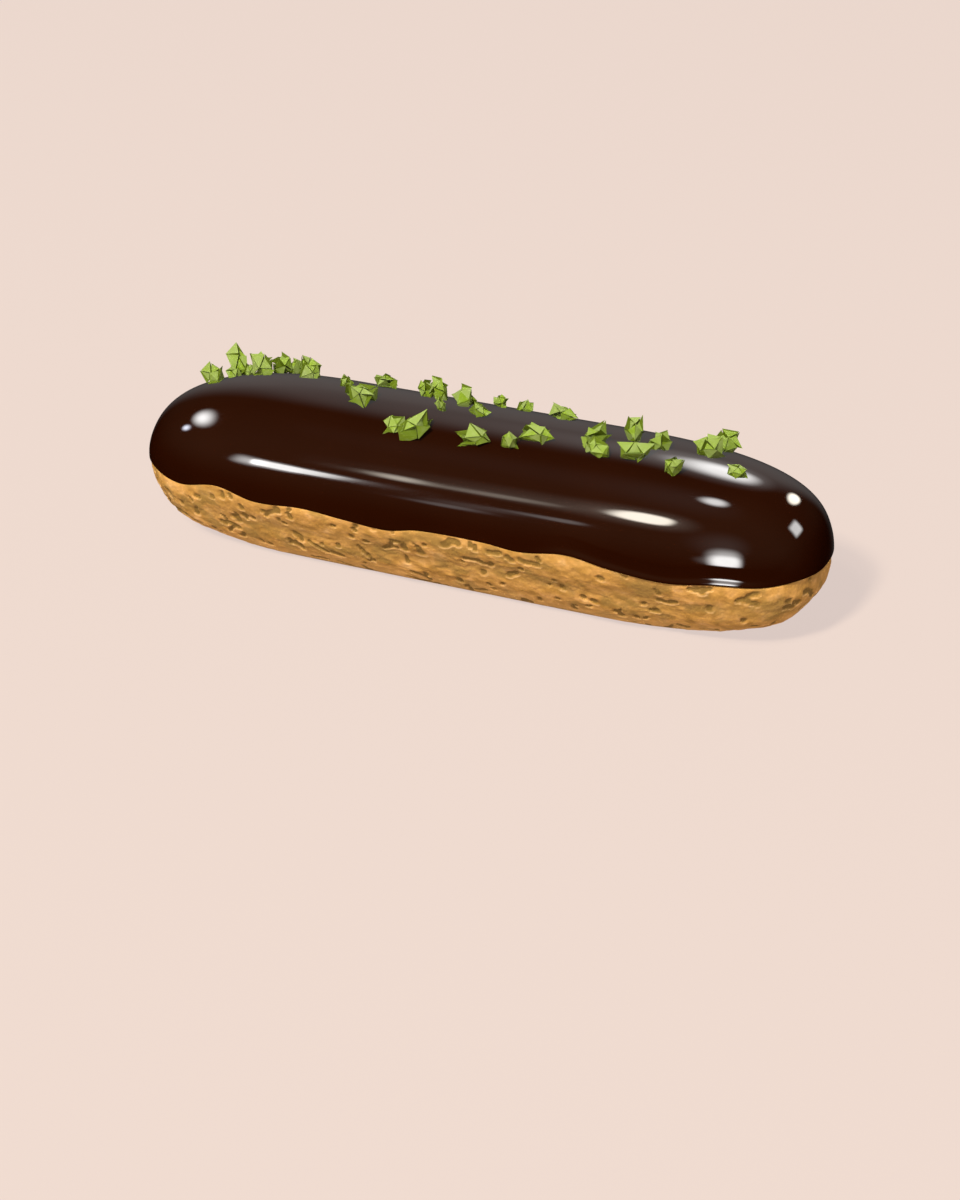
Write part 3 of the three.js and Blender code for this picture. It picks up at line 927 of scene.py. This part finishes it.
def nut_material():
    material, nodes, links, shader = new_material("pistachio_flesh")
    shader.inputs["Roughness"].default_value = 0.6
    shader.inputs["Specular IOR Level"].default_value = 0.25
    place = nodes.new("ShaderNodeTexCoord")
    tone = attribute(nodes, "tone")
    green = ramp(nodes, links, tone, *PISTACHIO)
    mottle = noise(nodes, links, place, 900, 3.0)
    pale = spread(nodes, links, mottle, 0.45, 0.75, 0.0, 0.45)
    green = mix(nodes, links, pale, green, PISTACHIO_PALE)
    # The inner faces in the slits are painted dark as shade
    crack_shade = spread(nodes, links, tone, -0.5, -0.1, 1.0, 0.0)
    green = mix(nodes, links, crack_shade, green, PISTACHIO_CRACK_SHADE)
    links.new(green, shader.inputs["Base Color"])
    links.new(bump(nodes, links, mottle, 0.0001), shader.inputs["Normal"])
    return material


def dress(piece, material, node):
    piece.data.materials.clear()
    piece.data.materials.append(material)
    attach(piece, "root")
    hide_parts(node)


choux = make_choux()
dress(choux, crust_material(), "choux_pastry")
glaze = make_glaze()
dress(glaze, glaze_material(), "chocolate_glaze")
nuts = make_nuts()
dress(nuts, nut_material(), "chocolate_glaze")
# The glaze mirrors the lights alone, not the nuts
nuts.visible_glossy = False

# Floor, a pale sheet that glows by itself and gives back little light, so that shadows on
# it stay faint. Most of its shadow comes from a light of its own.

FLOOR_HALF = 3.0
FLOOR_MATT = (0.0278, 0.0208, 0.0148)
FLOOR_GLOW = (0.693, 0.580, 0.538)


def make_floor():
    corners = [(x * FLOOR_HALF, y * FLOOR_HALF, 0) for x, y in ((-1, -1), (1, -1), (1, 1), (-1, 1))]
    mesh = bpy.data.meshes.new("floor")
    mesh.from_pydata(corners, [], [(0, 1, 2, 3)])
    material, _, _, shader = new_material("plain_floor")
    shader.inputs["Base Color"].default_value = (*FLOOR_MATT, 1)
    shader.inputs["Roughness"].default_value = 1.0
    shader.inputs["Specular IOR Level"].default_value = 0.0
    shader.inputs["Emission Color"].default_value = (*FLOOR_GLOW, 1)
    shader.inputs["Emission Strength"].default_value = 1.0
    mesh.materials.append(material)
    sheet = bpy.data.objects.new("floor", mesh)
    sheet.visible_glossy = False
    bpy.context.scene.collection.objects.link(sheet)
    return sheet


floor = make_floor()

# World: even pale light for matt surfaces. What gloss mirrors is a dim warm room, dark
# below the horizon, with a paler wall behind and soft patches of light.

AMBIENT = 0.55

# The wall, in degrees: its middle, where it fades to either side and at its top, and the
# elevations between which it grows from its foot's share to full
ROOM_WALL = 0.45
WALL_AZIMUTH = 108.0
WALL_SIDE = (17, 40)
WALL_TOP = (48, 67)
WALL_RISE = (-17, 25)
WALL_FOOT = 0.08

# The dim room: the elevations over which it grows, and the places along Y, from behind to
# the front, over which it goes from its share behind to full
ROOM_DIM = 0.11
DIM_RISE = (-12, 25)
DIM_TO_FRONT = (0.25, -0.45)
DIM_BEHIND = 0.3

WHITE = (1.0, 0.99, 0.98)
WARM = (1.0, 0.8, 0.55)
CREAM = (1.0, 0.92, 0.79)
BLUISH = (0.82, 0.86, 1.0)

# Each patch's azimuth from +X towards +Y, elevation, width and height in degrees; how
# soft its rim is; how square it is, 2 for an ellipse; its radiance, colour and roll
PATCHES = {
    "left_softbox": (178.9, 36.8, 14, 7.6, 0.9, 2, 18, WHITE, 0),
    "left_spark": (-174.6, 26, 5, 4.4, 0.9, 2, 19, BLUISH, 0),
    "front_strip": (-122.35, 22.8, 10.1, 6.2, 0.08, 5, 17, WHITE, 9),
    "front_strip_halo": (-122.5, 22.6, 9.8, 9.2, 0.2, 4, 6, WHITE, 9),
    "front_strip_start": (-128.8, 21.6, 6.5, 7.4, 0.9, 3, 10, WHITE, 0),
    "front_gleam": (-119.4, 35.9, 0.9, 5.1, 0.7, 2, 11, CREAM, 19),
    "front_gleam_link": (-118.6, 37.6, 2.2, 5, 0.7, 2, 0.4, CREAM, 0),
    "front_gleam_right": (-117.2, 37.1, 1.9, 5, 0.6, 2, 2.5, CREAM, 0),
    "front_gleam_glow": (-117, 38, 5, 9, 0.7, 2, 0.25, CREAM, 0),
    "front_cream": (-105.6, 44.4, 10, 10.5, 0.25, 2.5, 24, CREAM, 0),
    "front_cream_glow": (-106, 44.2, 16, 15, 0.9, 2, 1.3, CREAM, 0),
    "front_faint": (-113.1, 15.2, 1.2, 4, 0.5, 2, 1.9, WHITE, 0),
    "front_faint_link": (-113.2, 20.2, 1.6, 6, 0.6, 2, 0.7, WHITE, 0),
    "front_faint_right": (-111.4, 23.4, 2.6, 4, 0.5, 2, 2.2, WHITE, 0),
    "window": (-75.5, 6, 14, 16, 0.35, 3, 13, WHITE, 0),
    "window_top": (-75.5, 9.4, 14, 22.4, 0.5, 2.5, 10, WHITE, 0),
    "window_left": (-82.5, 6, 8, 8, 0.8, 2, 1.6, WHITE, 0),
    "window_glow": (-76, 27, 18, 22, 0.9, 2, 0.4, WHITE, 0),
    "zenith": (-88, 81.5, 7, 8.5, 0.6, 2, 16, WHITE, 0),
    "zenith_glow": (-115, 75, 26, 20, 0.95, 2, 0.15, WHITE, 0),
    "back_panel": (99, 51, 14, 20, 0.55, 2.2, 12, WHITE, 0),
    "back_panel_glow": (101, 50, 20, 28, 0.8, 2, 1.6, WHITE, 0),
    "back_cream": (64, 38, 9, 22, 0.35, 2, 20, CREAM, 40),
    "right_softbox": (10, 35, 16, 16, 0.4, 5, 13, WHITE, 0),
}


def direction(azimuth, elevation):
    """The way from the eclair towards this azimuth and elevation, in degrees."""
    a, e = math.radians(azimuth), math.radians(elevation)
    return Vector((math.cos(a) * math.cos(e), math.sin(a) * math.cos(e), math.sin(e)))


def facing(azimuth, elevation, roll=0):
    """The turn of a panel that faces the eclair from this direction."""
    upright = direction(azimuth, elevation).to_track_quat("Z", "Y").to_matrix()
    return (upright @ Matrix.Rotation(math.radians(roll), 3, "Z")).to_euler()


def math_node(nodes, links, operation, a, b=None):
    node = nodes.new("ShaderNodeMath")
    node.operation = operation
    for source, socket in ((a, node.inputs[0]), (b, node.inputs[1])):
        if isinstance(source, (int, float)):
            socket.default_value = source
        elif source is not None:
            links.new(source, socket)
    return node.outputs[0]


def separate(nodes, links, vector):
    axes = nodes.new("ShaderNodeSeparateXYZ")
    links.new(vector, axes.inputs[0])
    return axes.outputs


def ease(nodes, links, value, low, high, to_low, to_high):
    """As spread does, but with a smooth start and end."""
    result = spread(nodes, links, value, low, high, to_low, to_high)
    result.node.interpolation_type = "SMOOTHSTEP"
    return result


def ease_angle(nodes, links, angle, low, high, to_low, to_high):
    return ease(nodes, links, angle, math.radians(low), math.radians(high), to_low, to_high)


def room_levels(nodes, links, where):
    """How much of the wall and of the dim room lies in each direction."""
    axes = separate(nodes, links, where)
    azimuth = math_node(nodes, links, "ARCTAN2", axes["Y"], axes["X"])
    elevation = math_node(nodes, links, "ARCSINE", axes["Z"])
    off_wall = math_node(nodes, links, "SUBTRACT", azimuth, math.radians(WALL_AZIMUTH))
    off_wall = math_node(nodes, links, "ABSOLUTE", off_wall)
    wall = ease_angle(nodes, links, off_wall, *WALL_SIDE, 1.0, 0.0)
    rise = spread(nodes, links, elevation, *map(math.radians, WALL_RISE), WALL_FOOT, 1.0)
    wall = math_node(nodes, links, "MULTIPLY", wall, rise)
    top = ease_angle(nodes, links, elevation, *WALL_TOP, 1.0, 0.0)
    wall = math_node(nodes, links, "MULTIPLY", wall, top)
    dim = ease_angle(nodes, links, elevation, *DIM_RISE, 0.0, 1.0)
    front = spread(nodes, links, axes["Y"], *DIM_TO_FRONT, DIM_BEHIND, 1.0)
    return wall, math_node(nodes, links, "MULTIPLY", dim, front)


def patch_level(nodes, links, where, name, azimuth, elevation, wide, high, soft, power, roll):
    """1 inside the patch and 0 outside, by its own width and height as units."""
    local = nodes.new("ShaderNodeMapping")
    local.label = name
    local.vector_type = "TEXTURE"
    local.inputs["Rotation"].default_value = facing(azimuth, elevation, roll)
    half_wide, half_high = math.radians(wide / 2), math.radians(high / 2)
    local.inputs["Scale"].default_value = (math.sin(half_wide), math.sin(half_high), 1)
    links.new(where, local.inputs["Vector"])
    axes = separate(nodes, links, local.outputs["Vector"])
    across = math_node(nodes, links, "POWER", math_node(nodes, links, "ABSOLUTE", axes["X"]), power)
    along = math_node(nodes, links, "POWER", math_node(nodes, links, "ABSOLUTE", axes["Y"]), power)
    away = math_node(nodes, links, "POWER", math_node(nodes, links, "ADD", across, along), 1 / power)
    level = ease(nodes, links, away, 1 - soft, 1 + soft, 1.0, 0.0)
    ahead = math_node(nodes, links, "GREATER_THAN", axes["Z"], 0.0)
    return math_node(nodes, links, "MULTIPLY", level, ahead)


def add_light(nodes, links, level, radiance, colour, so_far=None):
    """Adds a light of this colour, times its level in each direction, to those so far."""
    node = nodes.new("ShaderNodeVectorMath")
    node.operation = "MULTIPLY_ADD"
    links.new(level, node.inputs[0])
    node.inputs[1].default_value = [radiance * part for part in colour]
    if so_far is not None:
        links.new(so_far, node.inputs[2])
    return node.outputs[0]


def make_world():
    world = bpy.data.worlds.new("studio")
    bpy.context.scene.world = world
    world.use_nodes = True
    nodes, links = world.node_tree.nodes, world.node_tree.links
    even = nodes["Background"]
    even.inputs["Color"].default_value = (1.0, 1.0, 1.0, 1)
    even.inputs["Strength"].default_value = AMBIENT
    where = nodes.new("ShaderNodeTexCoord").outputs["Generated"]
    wall, dim = room_levels(nodes, links, where)
    light = add_light(nodes, links, wall, ROOM_WALL, WHITE)
    light = add_light(nodes, links, dim, ROOM_DIM, WARM, light)
    for name, (*shape, radiance, colour, roll) in PATCHES.items():
        level = patch_level(nodes, links, where, name, *shape, roll)
        light = add_light(nodes, links, level, radiance, colour, light)
    mirrored = nodes.new("ShaderNodeBackground")
    links.new(light, mirrored.inputs["Color"])
    choose, path = nodes.new("ShaderNodeMixShader"), nodes.new("ShaderNodeLightPath")
    links.new(path.outputs["Is Glossy Ray"], choose.inputs[0])
    links.new(even.outputs[0], choose.inputs[1])
    links.new(mirrored.outputs[0], choose.inputs[2])
    links.new(choose.outputs[0], nodes["World Output"].inputs["Surface"])


make_world()

# Lights for the matt surfaces: azimuth, elevation and width in degrees, and strength.
# The last one is for the floor alone.

LIGHT_DISTANCE = 4.0
LIGHTS = {"key": (-97, 50, 6, 1.4), "fill": (-90, 8, 40, 0.12), "floor_key": (-97, 42, 6, 6.4)}


def place_light(name, azimuth, elevation, wide, strength):
    data = bpy.data.lights.new(name, "AREA")
    data.shape = "RECTANGLE"
    data.size = data.size_y = 2 * LIGHT_DISTANCE * math.tan(math.radians(wide) / 2)
    radiance = strength * math.pi / math.radians(wide) ** 2
    data.energy = radiance * data.size * data.size_y * math.pi
    light = bpy.data.objects.new(name, data)
    light.location = direction(azimuth, elevation) * LIGHT_DISTANCE + Vector((0, 0, HEIGHT * MM / 2))
    light.rotation_euler = facing(azimuth, elevation)
    light.visible_glossy = False
    light.visible_camera = False
    bpy.context.scene.collection.objects.link(light)
    return light


placed = {name: place_light(name, *settings) for name, settings in LIGHTS.items()}
lit_by_floor_key = bpy.data.collections.new("lit_by_floor_key")
lit_by_floor_key.objects.link(floor)
placed["floor_key"].light_linking.receiver_collection = lit_by_floor_key

# Camera, at the photograph's viewing angle. Its distance and aim are in millimetres, and
# its focal length is in pixels of an image of this height.

CAMERA_AZIMUTH = math.radians(24.0)
CAMERA_ELEVATION = math.radians(27.49)
CAMERA_DISTANCE = 568.0
FOCAL_PIXELS = 2905.0
AIM_RIGHT = -0.23
AIM_UP = 5.87
IMAGE_HEIGHT = 1200
SENSOR = 36.0
CLIP_START = 0.01


def make_camera():
    sa, ca = math.sin(CAMERA_AZIMUTH), math.cos(CAMERA_AZIMUTH)
    se, ce = math.sin(CAMERA_ELEVATION), math.cos(CAMERA_ELEVATION)
    forward = Vector((-sa * ce, ca * ce, -se))
    rightward = Vector((ca, sa, 0.0))
    upward = rightward.cross(forward)
    eye = -(forward * CAMERA_DISTANCE + rightward * AIM_RIGHT + upward * AIM_UP) * MM
    data = bpy.data.cameras.new("camera")
    data.sensor_width = SENSOR
    data.lens = FOCAL_PIXELS * SENSOR / IMAGE_HEIGHT
    data.clip_start = CLIP_START
    camera = bpy.data.objects.new("camera", data)
    turn = Matrix((rightward, upward, -forward)).transposed()
    camera.matrix_world = Matrix.Translation(eye) @ turn.to_4x4()
    bpy.context.scene.collection.objects.link(camera)
    bpy.context.scene.camera = camera


make_camera()
bpy.context.scene.view_settings.view_transform = "Standard"
